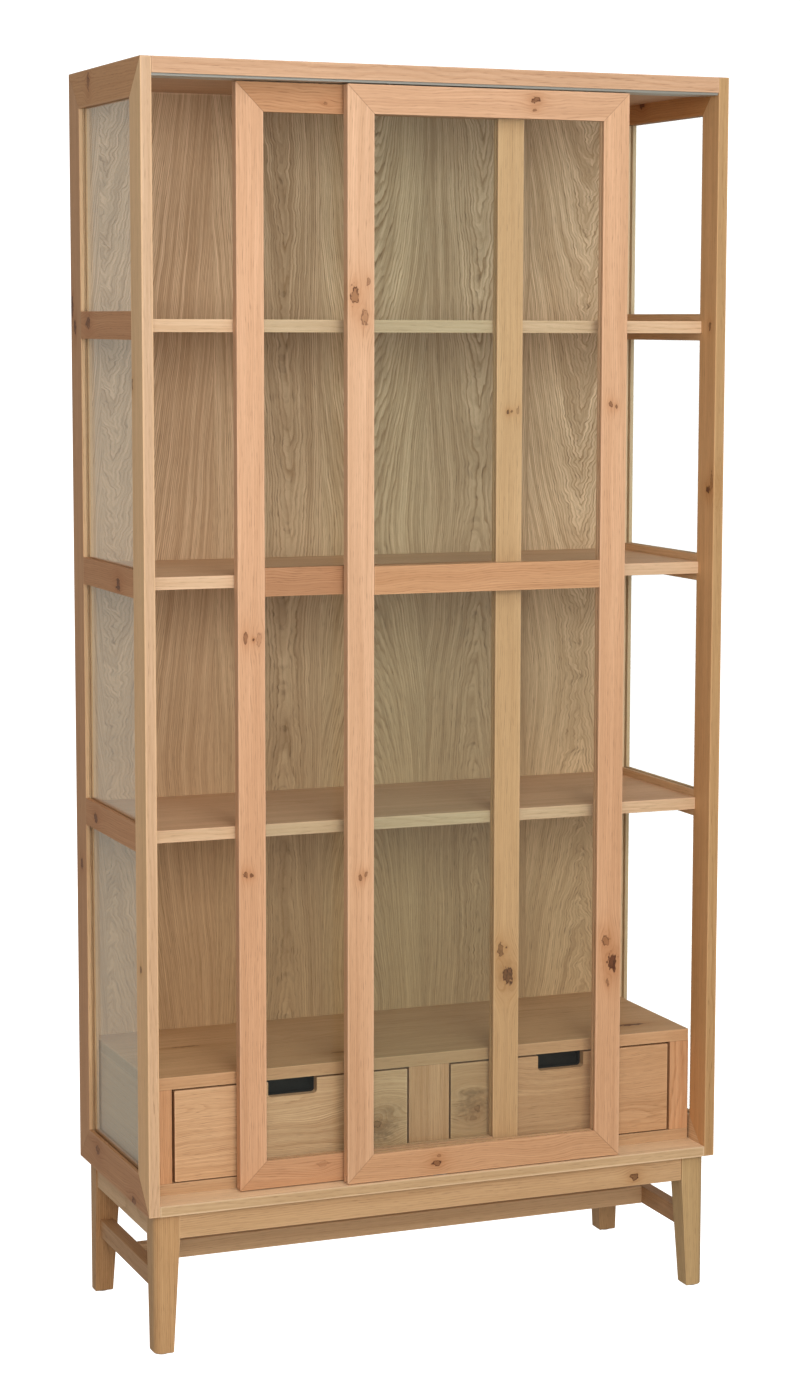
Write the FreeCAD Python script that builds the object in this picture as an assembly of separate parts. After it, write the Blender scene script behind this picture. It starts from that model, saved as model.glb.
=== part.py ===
import FreeCAD
import Part
import os

# Oak bookcase on legs: two window-like side frames with glass, a top and a
# bottom panel, a veneered back, three fixed shelves, two glazed sliding doors
# hung in an aluminium double track, and a low chest with two drawers inside.
# Millimetres. +Z up, front faces -Y, origin on the floor under the middle.

os.makedirs("parts", exist_ok=True)
V = FreeCAD.Vector

# ---------------------------------------------------------------- dimensions
W = 1000.0            # overall width
D = 400.0             # overall depth
H = 2035.0            # overall height
ZC = 230.0            # underside of the carcass above the floor
T = 18.0              # thickness of the side frames
P = 58.0              # width of side posts and side top/bottom rails
XR = 44.0             # height of the side cross rails
TOP_T = 25.0          # top panel
BOT_T = 17.0          # bottom panel
SHELF_T = 20.0
SHELF_Z = (ZC + 600.0, ZC + 1000.0, ZC + 1400.0)   # shelf and cross rail centres
SHELF_Y0 = -149.0     # front edge of the shelves
BACK_Y0, BACK_T = 182.0, 8.0
GLASS_T = 4.0
GROOVE_T = 4.6        # glass groove width
GROOVE_IN = 6.0       # how far the glass goes into its groove
GROOVE_CLR = 2.0      # groove depth beyond the glass edge

XI = W / 2 - T        # inner face of a side frame
ZB = ZC + BOT_T       # upper face of the bottom panel
ZT = H - TOP_T        # underside of the top panel

# sliding doors
DOOR_W = 486.0
DOOR_T = 18.0
DOOR_S = 45.0         # width of stiles and rails
DOOR_Z0 = ZB + 2.0
DOOR_Z1 = ZT - 6.0
DOOR_MID_Z = ZC + 999.0
FRONT_DOOR_Y = -196.5  # front face
REAR_DOOR_Y = -169.5
FRONT_DOOR_X = -164.0  # left edge at rest
REAR_DOOR_X = -338.0
DGROOVE_W, DGROOVE_H = 5.0, 12.0   # guide groove under each door

# top track
TR_Y0, TR_Y1 = -197.5, -150.5
TR_WALL = 1.5
TR_Z0, TR_Z1 = ZT - 4.0, ZT + 14.0
CH_HALF = 8.5         # half inner width of one channel
SLOT_HALF = 4.0       # half width of the slot under each channel

# inner drawer chest
BX_X = 478.5          # half length of the chest, which stands free of the side frames
BX_Y0 = -142.0        # front face of the chest
BX_TOP_T = 20.0
BX_TOP_Z = ZC + 209.5
BX_RAIL_H = 18.5
STILE_SIDE, STILE_MID, STILE_T = 34.8, 71.0, 20.0
DR_W0, DR_W1 = 39.0, 439.0         # drawer front, distance from the middle
DR_Z0, DR_Z1 = ZC + 37.5, ZC + 186.5
DR_FRONT_T = 18.0
DR_SIDE_T, DR_SIDE_H, DR_BACK_Y = 12.0, 120.0, 160.0
PULL_W, PULL_H, PULL_R = 83.5, 25.5, 6.0
PULL_IN = 14.0        # how far behind the drawer's face the liner starts

# base
LEG_IN = 12.0         # inset of the legs from the carcass edge
LEG_TOP, LEG_FOOT = 42.0, 31.0
LEG_R = 12.0          # rounding of the outer corner
APRON_H, APRON_T, APRON_SET = 42.0, 20.0, 2.0
GLIDE_H = 2.0
STR_W, STR_Z0, STR_Z1 = 22.0, 99.0, 129.0


# ---------------------------------------------------------------- helpers
def box(x0, x1, y0, y1, z0, z1):
    x0, x1 = min(x0, x1), max(x0, x1)
    y0, y1 = min(y0, y1), max(y0, y1)
    return Part.makeBox(x1 - x0, y1 - y0, z1 - z0, V(x0, y0, z0))


def prism(pts, vec):
    wire = Part.makePolygon([V(*p) for p in pts] + [V(*pts[0])])
    return Part.Face(wire).extrude(V(*vec))


def prism_yz(pts, x0, x1):
    return prism([(x0, y, z) for y, z in pts], (x1 - x0, 0, 0))


def prism_xz(pts, y0, y1):
    return prism([(x, y0, z) for x, z in pts], (0, y1 - y0, 0))


def cyl(r, h, at, axis):
    return Part.makeCylinder(r, h, V(*at), V(*axis))


def cut(shape, tools):
    for t in tools:
        shape = shape.cut(t)
    return shape


def solids(shape):
    return shape.Solids if len(shape.Solids) > 1 else [shape.Solids[0]]


def save(name, *shapes):
    flat = []
    for s in shapes:
        flat.extend(s.Solids)
    out = flat[0] if len(flat) == 1 else Part.makeCompound(flat)
    out.exportStep("parts/%s.step" % name)


def mirror_x(shape):
    return shape.mirror(V(0, 0, 0), V(1, 0, 0))


# ---------------------------------------------------------------- side frames
yi, zi0, zi1 = D / 2 - P, ZC + P, H - P
pane_z = []
z = zi0
for c in SHELF_Z:
    pane_z.append((z, c - XR / 2))
    z = c + XR / 2
pane_z.append((z, zi1))
gx = -(W / 2 - T / 2)      # middle plane of the left frame

side_panes, side_grooves = [], []
for a, b in pane_z:
    side_panes.append(box(gx - GLASS_T / 2, gx + GLASS_T / 2,
                          -yi - GROOVE_IN, yi + GROOVE_IN,
                          a - GROOVE_IN, b + GROOVE_IN))
    g = GROOVE_IN + GROOVE_CLR
    side_grooves.append(box(gx - GROOVE_T / 2, gx + GROOVE_T / 2,
                            -yi - g, yi + g, a - g, b + g))

x0, x1 = -W / 2, -XI
front_post = prism_yz([(-D / 2, ZC), (-D / 2, H), (-yi, zi1), (-yi, zi0)], x0, x1)
rear_post = prism_yz([(D / 2, ZC), (yi, zi0), (yi, zi1), (D / 2, H)], x0, x1)
top_rail = prism_yz([(-D / 2, H), (D / 2, H), (yi, zi1), (-yi, zi1)], x0, x1)
bottom_rail = prism_yz([(-D / 2, ZC), (-yi, zi0), (yi, zi0), (D / 2, ZC)], x0, x1)
cross = [box(x0, x1, -yi, yi, c - XR / 2, c + XR / 2) for c in SHELF_Z]

left = {
    "side_front_post": cut(front_post, side_grooves),
    "side_rear_post": cut(rear_post, side_grooves),
    "side_top_rail": cut(top_rail, side_grooves),
    "side_bottom_rail": cut(bottom_rail, side_grooves),
}
cross = [cut(c, side_grooves) for c in cross]
for name, shape in left.items():
    save("left_" + name, shape)
    save("right_" + name, mirror_x(shape))
save("left_side_cross_rails", *cross)
save("right_side_cross_rails", *[mirror_x(c) for c in cross])
save("side_glass_panes", *(side_panes + [mirror_x(p) for p in side_panes]))

# ---------------------------------------------------------------- carcass
recess = box(-XI - 1, XI + 1, TR_Y0 - 0.2, TR_Y1 + 0.2, ZT - 1, TR_Z1 + 0.2)
save("top_panel", box(-XI, XI, -D / 2, D / 2, ZT, H).cut(recess))

front_dc = FRONT_DOOR_Y + DOOR_T / 2      # middle planes of the doors
rear_dc = REAR_DOOR_Y + DOOR_T / 2
guide_pocket = box(-12.1, 12.1, front_dc - 6.1, rear_dc + 6.1, ZB - 1.5, ZB + 1)

# corner blocks and screws of the base reach into the bottom panel
screw_xy = [(sx * 434.0, sy * 134.0) for sx in (-1, 1) for sy in (-1, 1)]
SCREW_R, SCREW_CLR = 2.0, 0.1
pilot = [cyl(SCREW_R + SCREW_CLR, 14.0, (x, y, ZC - 1), (0, 0, 1)) for x, y in screw_xy]
save("bottom_panel", cut(box(-XI, XI, -D / 2, D / 2, ZC, ZB), [guide_pocket] + pilot))
save("back_panel", box(-XI, XI, BACK_Y0, BACK_Y0 + BACK_T, ZB, ZT))
for name, c in zip(("lower_shelf", "middle_shelf", "upper_shelf"), SHELF_Z):
    save(name, box(-XI, XI, SHELF_Y0, BACK_Y0, c - SHELF_T / 2, c + SHELF_T / 2))

# ---------------------------------------------------------------- door track
w = TR_WALL
xa, xb = -XI + 0.5, XI - 0.5
profile = box(xa, xb, TR_Y0, TR_Y1, TR_Z1 - w, TR_Z1)
for c in (front_dc, rear_dc):
    for s in (-1, 1):
        wall = sorted((c + s * CH_HALF, c + s * (CH_HALF + w)))
        lip = sorted((c + s * SLOT_HALF, c + s * (CH_HALF + w)))
        profile = profile.fuse(box(xa, xb, wall[0], wall[1], TR_Z0, TR_Z1))
        profile = profile.fuse(box(xa, xb, lip[0], lip[1], TR_Z0, TR_Z0 + w))
profile = profile.fuse(box(xa, xb, front_dc + CH_HALF, rear_dc - CH_HALF,
                           TR_Z0, TR_Z0 + w)).removeSplitter()
save("top_track", profile)

# floor guide: a thin plate let into the bottom panel with one fin per door
guide = box(-12, 12, front_dc - 6, rear_dc + 6, ZB - 1.5, ZB + 0.5)
for c in (front_dc, rear_dc):
    guide = guide.fuse(box(-12, 12, c - 1.7, c + 1.7, ZB - 1.0, DOOR_Z0 + 10.0))
save("door_floor_guide", guide.removeSplitter())


# ---------------------------------------------------------------- doors
def door(prefix, xl, yf):
    xr, yb = xl + DOOR_W, yf + DOOR_T
    yc = (yf + yb) / 2
    s, z0, z1 = DOOR_S, DOOR_Z0, DOOR_Z1
    m0, m1 = DOOR_MID_Z - s / 2, DOOR_MID_Z + s / 2
    g = GROOVE_IN + GROOVE_CLR
    panes, grooves = [], []
    for a, b in ((z0 + s, m0), (m1, z1 - s)):
        panes.append(box(xl + s - GROOVE_IN, xr - s + GROOVE_IN,
                         yc - GLASS_T / 2, yc + GLASS_T / 2,
                         a - GROOVE_IN, b + GROOVE_IN))
        grooves.append(box(xl + s - g, xr - s + g,
                           yc - GROOVE_T / 2, yc + GROOVE_T / 2, a - g, b + g))
    under = box(xl - 1, xr + 1, yc - DGROOVE_W / 2, yc + DGROOVE_W / 2,
                z0 - 1, z0 + DGROOVE_H)
    hx = [(xl + xr) / 2 - 170.0, (xl + xr) / 2 + 170.0]
    bores = [cyl(3.1, 27.0, (x, yc, z1 - 26.0), (0, 0, 1)) for x in hx]
    ls = prism_xz([(xl, z0), (xl, z1), (xl + s, z1 - s), (xl + s, z0 + s)], yf, yb)
    rs = prism_xz([(xr, z0), (xr - s, z0 + s), (xr - s, z1 - s), (xr, z1)], yf, yb)
    tr = prism_xz([(xl, z1), (xr, z1), (xr - s, z1 - s), (xl + s, z1 - s)], yf, yb)
    br = prism_xz([(xl, z0), (xl + s, z0 + s), (xr - s, z0 + s), (xr, z0)], yf, yb)
    mr = box(xl + s, xr - s, yf, yb, m0, m1)
    save(prefix + "_left_stile", cut(ls, grooves + [under]))
    save(prefix + "_right_stile", cut(rs, grooves + [under]))
    save(prefix + "_top_rail", cut(tr, grooves + bores))
    save(prefix + "_mid_rail", cut(mr, grooves))
    save(prefix + "_bottom_rail", cut(br, grooves + [under]))
    save(prefix + "_glass", *panes)
    # hangers: a plate on two axles with four small wheels, and a stem that
    # goes down through the track slot into the top rail
    parts = []
    wr = 5.5
    wz = TR_Z0 + TR_WALL + 0.3 + wr
    for x in hx:
        body = box(x - 14, x + 14, yc - 2.6, yc + 2.6, wz - 4.0, wz + 5.0)
        body = body.fuse(cyl(3.0, wz - 3.0 - (z1 - 25.0), (x, yc, z1 - 25.0), (0, 0, 1)))
        for dx in (-9.0, 9.0):
            body = body.fuse(cyl(1.5, 15.2, (x + dx, yc - 7.6, wz), (0, 1, 0)))
        parts.append(body.removeSplitter())
        for dx in (-9.0, 9.0):
            for side in (-1, 1):
                ya = yc + 3.2 if side > 0 else yc - 7.6
                ring = cyl(wr, 4.4, (x + dx, ya, wz), (0, 1, 0))
                ring = ring.cut(cyl(1.6, 6.4, (x + dx, ya - 1, wz), (0, 1, 0)))
                parts.append(ring)
    save(prefix + "_hangers", *parts)


door("front_door", FRONT_DOOR_X, FRONT_DOOR_Y)
door("rear_door", REAR_DOOR_X, REAR_DOOR_Y)

# ---------------------------------------------------------------- drawer chest
bx_top0 = BX_TOP_Z - BX_TOP_T
rail_z1 = ZB + BX_RAIL_H
save("drawer_chest_top", box(-BX_X, BX_X, BX_Y0, BACK_Y0, bx_top0, BX_TOP_Z))
save("drawer_chest_base_rail", box(-BX_X, BX_X, BX_Y0, BX_Y0 + STILE_T, ZB, rail_z1))
ys = BX_Y0 + STILE_T
save("drawer_chest_stiles",
     box(-BX_X, -BX_X + STILE_SIDE, BX_Y0, ys, rail_z1, bx_top0),
     box(-STILE_MID / 2, STILE_MID / 2, BX_Y0, ys, rail_z1, bx_top0),
     box(BX_X - STILE_SIDE, BX_X, BX_Y0, ys, rail_z1, bx_top0))
SP = 18.0                                   # chest side panels
PT = 28.0                                   # partition
save("drawer_chest_uprights",
     box(-BX_X, -BX_X + SP, ys, BACK_Y0, ZB, bx_top0),
     box(-PT / 2, PT / 2, ys, BACK_Y0, ZB, bx_top0),
     box(BX_X - SP, BX_X, ys, BACK_Y0, ZB, bx_top0))
# wooden runners: an L in section, the foot under the drawer side and the
# upright part beside it
RZ = DR_Z0 + 0.1
guide_gap = 1.0


def runner(x_wall, x_guide, x_foot):
    foot = box(x_wall, x_foot, ys, BACK_Y0 - 4, ZB, RZ)
    upright = box(x_wall, x_guide, ys, BACK_Y0 - 4, RZ - 1, RZ + 34)
    return foot.fuse(upright).removeSplitter()


side_out = DR_W1 - 2.0                      # outer faces of the drawer sides
side_in = DR_W0 + 2.0
left_runners = [runner(-BX_X + SP, -side_out - guide_gap, -side_out + 22),
                runner(-PT / 2, -side_in + guide_gap, -side_in - 22)]
save("drawer_runners", *(left_runners + [mirror_x(r) for r in left_runners]))


# ---------------------------------------------------------------- drawers
def rounded_notch(xc, hw, z_bottom, z_top, r, y0, y1):
    """A slot open at the top with rounded lower corners, run along Y."""
    a = box(xc - hw, xc + hw, y0, y1, z_bottom + r, z_top)
    b = box(xc - hw + r, xc + hw - r, y0, y1, z_bottom, z_bottom + r + 1)
    s = a.fuse(b)
    for sx in (-1, 1):
        s = s.fuse(cyl(r, y1 - y0, (xc + sx * (hw - r), y0, z_bottom + r), (0, 1, 0)))
    return s.removeSplitter()


def drawer(prefix, sgn):
    xa, xb = sorted((sgn * DR_W0, sgn * DR_W1))
    xc = (xa + xb) / 2
    yf, yb = BX_Y0, BX_Y0 + DR_FRONT_T
    zn = DR_Z1 - PULL_H
    hw = PULL_W / 2
    # bottom board in grooves
    bz0, bz1 = DR_Z0 + 8.0, DR_Z0 + 14.0
    sx0, sx1 = xa + 2.0, xb - 2.0
    in0, in1 = sx0 + DR_SIDE_T, sx1 - DR_SIDE_T
    bottom = box(in0 - 4, in1 + 4, yb - 5, DR_BACK_Y, bz0, bz1)
    groove = box(in0 - 4.3, in1 + 4.3, yb - 5.3, DR_BACK_Y + 1, bz0 - 0.1, bz1 + 0.1)
    front = box(xa, xb, yf, yb, DR_Z0, DR_Z1)
    front = front.cut(rounded_notch(xc, hw, zn, DR_Z1 + 1, PULL_R, yf - 1, yb + 1))
    front = front.cut(groove)
    z0, z1 = DR_Z0 + 0.5, DR_Z0 + 0.5 + DR_SIDE_H
    left_side = box(sx0, in0, yb, DR_BACK_Y, z0, z1).cut(groove)
    right_side = box(in1, sx1, yb, DR_BACK_Y, z0, z1).cut(groove)
    back = box(in0, in1, DR_BACK_Y - DR_SIDE_T, DR_BACK_Y, bz1 + 0.1, z1)
    save(prefix + "_front", front)
    save(prefix + "_sides", left_side, right_side)
    save(prefix + "_back", back)
    save(prefix + "_bottom", bottom)
    # finger pull: a moulded liner in the cut-out that opens into a pocket
    # behind the front, with room to hook the fingers down
    wl = 1.4
    top = DR_Z1 - 0.4
    liner = rounded_notch(xc, hw - 0.1, zn + 0.1, top, PULL_R, yf + PULL_IN, yb)
    pocket = box(xc - hw - 4, xc + hw + 4, yb, yb + 17, zn - 12, top)
    inner = rounded_notch(xc, hw - 0.1 - wl, zn + 0.1 + wl, top + 1, PULL_R - wl,
                          yf + PULL_IN - 1, yb + wl + 1)
    hollow = box(xc - hw - 4 + wl, xc + hw + 4 - wl, yb + wl, yb + 17 - wl,
                 zn - 12 + wl, top + 1)
    pull = liner.fuse(pocket).cut(inner).cut(hollow)
    save(prefix + "_finger_pull", pull.removeSplitter())


drawer("left_drawer", -1)
drawer("right_drawer", 1)

# ---------------------------------------------------------------- base
lx, ly = W / 2 - LEG_IN, D / 2 - LEG_IN       # outer corner of a leg
ZA = ZC - APRON_H                             # where the taper starts


def leg_width(zz):
    return LEG_TOP - (LEG_TOP - LEG_FOOT) * (ZA - zz) / (ZA - GLIDE_H)


def leg():
    # front left leg; both inner faces taper, both outer faces are upright
    def section(w0, zz):
        xo, yo = -lx, -ly
        r = LEG_R
        e = [Part.makeLine(V(xo + r, yo, zz), V(xo + w0, yo, zz)),
             Part.makeLine(V(xo + w0, yo, zz), V(xo + w0, yo + w0, zz)),
             Part.makeLine(V(xo + w0, yo + w0, zz), V(xo, yo + w0, zz)),
             Part.makeLine(V(xo, yo + w0, zz), V(xo, yo + r, zz)),
             Part.Arc(V(xo, yo + r, zz),
                      V(xo + r * (1 - 0.70710678), yo + r * (1 - 0.70710678), zz),
                      V(xo + r, yo, zz)).toShape()]
        return Part.Wire(e)
    block = Part.Face(section(LEG_TOP, ZA)).extrude(V(0, 0, ZC - ZA))
    taper = Part.makeLoft([section(LEG_FOOT, GLIDE_H), section(LEG_TOP, ZA)], True, True)
    body = block.fuse(taper)
    c = 1.5                                   # chamfer round the foot
    low = [e for e in body.Edges
           if e.BoundBox.ZMax < GLIDE_H + 0.01]
    body = body.makeChamfer(c, low)
    m = -lx + LEG_FOOT / 2, -ly + LEG_FOOT / 2
    hole = cyl(2.6, 14.0, (m[0], m[1], GLIDE_H - 1), (0, 0, 1))
    return body.cut(hole)


fl = leg()
rl = fl.mirror(V(0, 0, 0), V(0, 1, 0))
save("front_left_leg", fl)
save("front_right_leg", mirror_x(fl))
save("rear_left_leg", rl)
save("rear_right_leg", mirror_x(rl))

foot = (lx - LEG_FOOT / 2, ly - LEG_FOOT / 2)
glides = []
for sx in (-1, 1):
    for sy in (-1, 1):
        at = (sx * foot[0], sy * foot[1], 0)
        disc = cyl(10.5, GLIDE_H, at, (0, 0, 1))
        pin = cyl(2.5, 12.0, (at[0], at[1], GLIDE_H - 1), (0, 0, 1))
        glides.append(disc.fuse(pin).removeSplitter())
save("foot_glides", *glides)

xo = lx - LEG_TOP                             # inner faces of the leg tops
yo = ly - LEG_TOP
fy = -(ly - APRON_SET)
save("front_apron", box(-xo, xo, fy, fy + APRON_T, ZA, ZC))
save("rear_apron", box(-xo, xo, -fy, -fy - APRON_T, ZA, ZC))
ax = lx - APRON_SET
save("side_aprons", box(-ax, -ax + APRON_T, -yo, yo, ZA, ZC),
     box(ax - APRON_T, ax, -yo, yo, ZA, ZC))

# stretchers: one between each front and rear leg, and a long one joining them
ye1, ye0 = ly - leg_width(STR_Z1), ly - leg_width(STR_Z0)
sx_mid = lx - leg_width((STR_Z0 + STR_Z1) / 2) / 2
sa, sb = sx_mid - STR_W / 2, sx_mid + STR_W / 2
side = prism_yz([(-ye0, STR_Z0), (-ye1, STR_Z1), (ye1, STR_Z1), (ye0, STR_Z0)], -sb, -sa)
save("side_stretchers", side, mirror_x(side))
save("long_stretcher", box(-sa, sa, -STR_W / 2, STR_W / 2, STR_Z0, STR_Z1))

# corner blocks inside the base, each with one screw up into the bottom panel
BLK_Z0 = ZA + 8.0
BLK = 60.0                                    # legs of the block beyond the leg
bx, by = ax - APRON_T, -fy - APRON_T          # inner faces of the aprons
blocks, screws = [], []
for (x, y) in screw_xy:
    sx, sy = (1 if x > 0 else -1), (1 if y > 0 else -1)
    pts = [(sx * xo, sy * by), (sx * xo, sy * yo), (sx * bx, sy * yo),
           (sx * bx, sy * (yo - BLK)), (sx * (xo - BLK), sy * by)]
    blk = prism([(a, b, BLK_Z0) for a, b in pts], (0, 0, ZC - BLK_Z0))
    blk = blk.cut(cyl(SCREW_R + SCREW_CLR, 60, (x, y, BLK_Z0 - 5), (0, 0, 1)))
    blk = blk.cut(cyl(4.2, 6.0, (x, y, BLK_Z0 - 2), (0, 0, 1)))
    blocks.append(blk)
    shank = cyl(SCREW_R, 41.0, (x, y, BLK_Z0 + 1.5), (0, 0, 1))
    head = cyl(4.0, 3.0, (x, y, BLK_Z0 + 0.9), (0, 0, 1))
    slot = box(x - 2.6, x + 2.6, y - 0.5, y + 0.5, BLK_Z0, BLK_Z0 + 2.1)
    slot2 = box(x - 0.5, x + 0.5, y - 2.6, y + 2.6, BLK_Z0, BLK_Z0 + 2.1)
    screws.append(shank.fuse(head).cut(slot).cut(slot2).removeSplitter())
save("base_corner_blocks", *blocks)
save("base_screws", *screws)
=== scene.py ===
import math

import bpy
from mathutils import Matrix, Vector


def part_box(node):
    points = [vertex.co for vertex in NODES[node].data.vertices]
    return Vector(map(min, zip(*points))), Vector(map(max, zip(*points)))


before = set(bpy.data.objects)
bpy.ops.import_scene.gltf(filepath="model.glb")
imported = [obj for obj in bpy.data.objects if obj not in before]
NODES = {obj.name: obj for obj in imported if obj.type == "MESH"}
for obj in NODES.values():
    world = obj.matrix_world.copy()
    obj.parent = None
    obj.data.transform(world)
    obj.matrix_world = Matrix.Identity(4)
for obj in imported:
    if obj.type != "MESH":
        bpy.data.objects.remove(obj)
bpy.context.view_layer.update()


def lin(r, g, b):
    """An sRGB colour, 0 to 255, as linear RGBA."""

    def one(c):
        c /= 255.0
        return c / 12.92 if c <= 0.04045 else ((c + 0.055) / 1.055) ** 2.4

    return (one(r), one(g), one(b), 1.0)


def toned(c, k, warm=0.0):
    """A linear colour made lighter or darker by k, and redder or yellower by warm."""
    return (c[0] * k * (1 + warm), c[1] * k, c[2] * k * (1 - warm), 1.0)


# ---------------------------------------------------------------- node graphs


class Graph:
    """A material's node tree, with one short call for each kind of node."""

    def __init__(self, name):
        self.mat = bpy.data.materials.new(name)
        self.mat.use_nodes = True
        self.nt = self.mat.node_tree
        self.nt.nodes.clear()
        self.out = self.nt.nodes.new("ShaderNodeOutputMaterial")

    def put(self, socket, value):
        if isinstance(value, bpy.types.NodeSocket):
            self.nt.links.new(value, socket)
        elif value is not None:
            socket.default_value = value

    def m(self, op, a, b=None, c=None, clamp=False):
        n = self.nt.nodes.new("ShaderNodeMath")
        n.operation = op
        n.use_clamp = clamp
        for socket, value in zip(n.inputs, (a, b, c)):
            self.put(socket, value)
        return n.outputs[0]

    def v(self, op, a, b=None, scale=None):
        n = self.nt.nodes.new("ShaderNodeVectorMath")
        n.operation = op
        self.put(n.inputs[0], a)
        if b is not None:
            self.put(n.inputs[1], b)
        if scale is not None:
            self.put(n.inputs["Scale"], scale)
        return n.outputs[0]

    def dot(self, a, b):
        n = self.nt.nodes.new("ShaderNodeVectorMath")
        n.operation = "DOT_PRODUCT"
        self.put(n.inputs[0], a)
        self.put(n.inputs[1], b)
        return n.outputs["Value"]

    def join(self, x, y, z):
        n = self.nt.nodes.new("ShaderNodeCombineXYZ")
        for socket, value in zip(n.inputs, (x, y, z)):
            self.put(socket, value)
        return n.outputs[0]

    def split(self, v):
        n = self.nt.nodes.new("ShaderNodeSeparateXYZ")
        self.put(n.inputs[0], v)
        return n.outputs

    def noise(self, vector, scale=1.0, detail=2.0, rough=0.5, distortion=0.0, color=False):
        n = self.nt.nodes.new("ShaderNodeTexNoise")
        self.put(n.inputs["Vector"], vector)
        n.inputs["Scale"].default_value = scale
        n.inputs["Detail"].default_value = detail
        n.inputs["Roughness"].default_value = rough
        n.inputs["Distortion"].default_value = distortion
        return n.outputs["Color"] if color else n.outputs["Fac"]

    def white(self, value):
        n = self.nt.nodes.new("ShaderNodeTexWhiteNoise")
        n.noise_dimensions = "1D"
        self.put(n.inputs["W"], value)
        return n.outputs["Value"]

    def voronoi(self, vector, scale=1.0, randomness=1.0):
        n = self.nt.nodes.new("ShaderNodeTexVoronoi")
        self.put(n.inputs["Vector"], vector)
        n.inputs["Scale"].default_value = scale
        n.inputs["Randomness"].default_value = randomness
        return n.outputs["Distance"]

    def ramp(self, fac, stops, interpolation="LINEAR"):
        n = self.nt.nodes.new("ShaderNodeValToRGB")
        n.color_ramp.interpolation = interpolation
        e = n.color_ramp.elements
        while len(e) < len(stops):
            e.new(0.5)
        for i, (at, colour) in enumerate(stops):
            e[i].position = at
            e[i].color = colour if isinstance(colour, tuple) else (colour, colour, colour, 1.0)
        self.put(n.inputs[0], fac)
        return n.outputs[0]

    def mix(self, fac, a, b, blend="MIX"):
        n = self.nt.nodes.new("ShaderNodeMix")
        n.data_type = "RGBA"
        n.blend_type = blend
        self.put(n.inputs[0], fac)
        self.put(n.inputs[6], a)
        self.put(n.inputs[7], b)
        return n.outputs[2]

    def step(self, x, lo, hi, to_lo=0.0, to_hi=1.0):
        n = self.nt.nodes.new("ShaderNodeMapRange")
        n.interpolation_type = "SMOOTHSTEP"
        n.clamp = True
        self.put(n.inputs["Value"], x)
        n.inputs["From Min"].default_value = lo
        n.inputs["From Max"].default_value = hi
        n.inputs["To Min"].default_value = to_lo
        n.inputs["To Max"].default_value = to_hi
        return n.outputs[0]

    def bump(self, height, strength, distance):
        n = self.nt.nodes.new("ShaderNodeBump")
        n.inputs["Strength"].default_value = strength
        n.inputs["Distance"].default_value = distance
        self.put(n.inputs["Height"], height)
        return n.outputs[0]

    def place(self):
        n = self.nt.nodes.new("ShaderNodeTexCoord")
        return n.outputs["Object"]

    def facing(self):
        n = self.nt.nodes.new("ShaderNodeTexCoord")
        return n.outputs["Normal"]

    def shader(self, **inputs):
        n = self.nt.nodes.new("ShaderNodeBsdfPrincipled")
        for key, value in inputs.items():
            self.put(n.inputs[key.replace("_", " ")], value)
        return n

    def finish(self, socket):
        self.nt.links.new(socket, self.out.inputs["Surface"])
        return self.mat


def edge_mask(g, xyz, box, width, rag):
    """1 on the arrises of a board with that box, 0 a little way in. The distance to an edge is the middle one of the distances to the three pairs of faces."""
    lo, hi = box
    d = []
    for i in range(3):
        a = g.m("SUBTRACT", xyz[i], lo[i])
        b = g.m("SUBTRACT", hi[i], xyz[i])
        d.append(g.m("MINIMUM", a, b))
    low = g.m("MINIMUM", d[0], d[1])
    high = g.m("MAXIMUM", d[0], d[1])
    middle = g.m("MAXIMUM", low, g.m("MINIMUM", high, d[2]))
    ragged = g.m("MULTIPLY_ADD", rag, width * 0.9, middle)
    return g.step(ragged, width * 0.5, width * 1.5, 1.0, 0.0)


AXIS = {"X": 0, "Y": 1, "Z": 2}

# The wood's own colours. Each board starts from one of these pairs, pale late wood and browner early wood.
PEACH = (lin(220, 177, 143), lin(190, 141, 103))
HONEY = (lin(213, 176, 136), lin(186, 144, 100))
CREAM = (lin(222, 190, 152), lin(196, 158, 114))
STRAW = (lin(205, 170, 126), lin(176, 138, 94))
RUSSET = (lin(204, 158, 118), lin(176, 124, 84))
VENEER = (lin(226, 196, 164), lin(160, 125, 90))
GOLD = (lin(216, 174, 134), lin(174, 126, 84))


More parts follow.
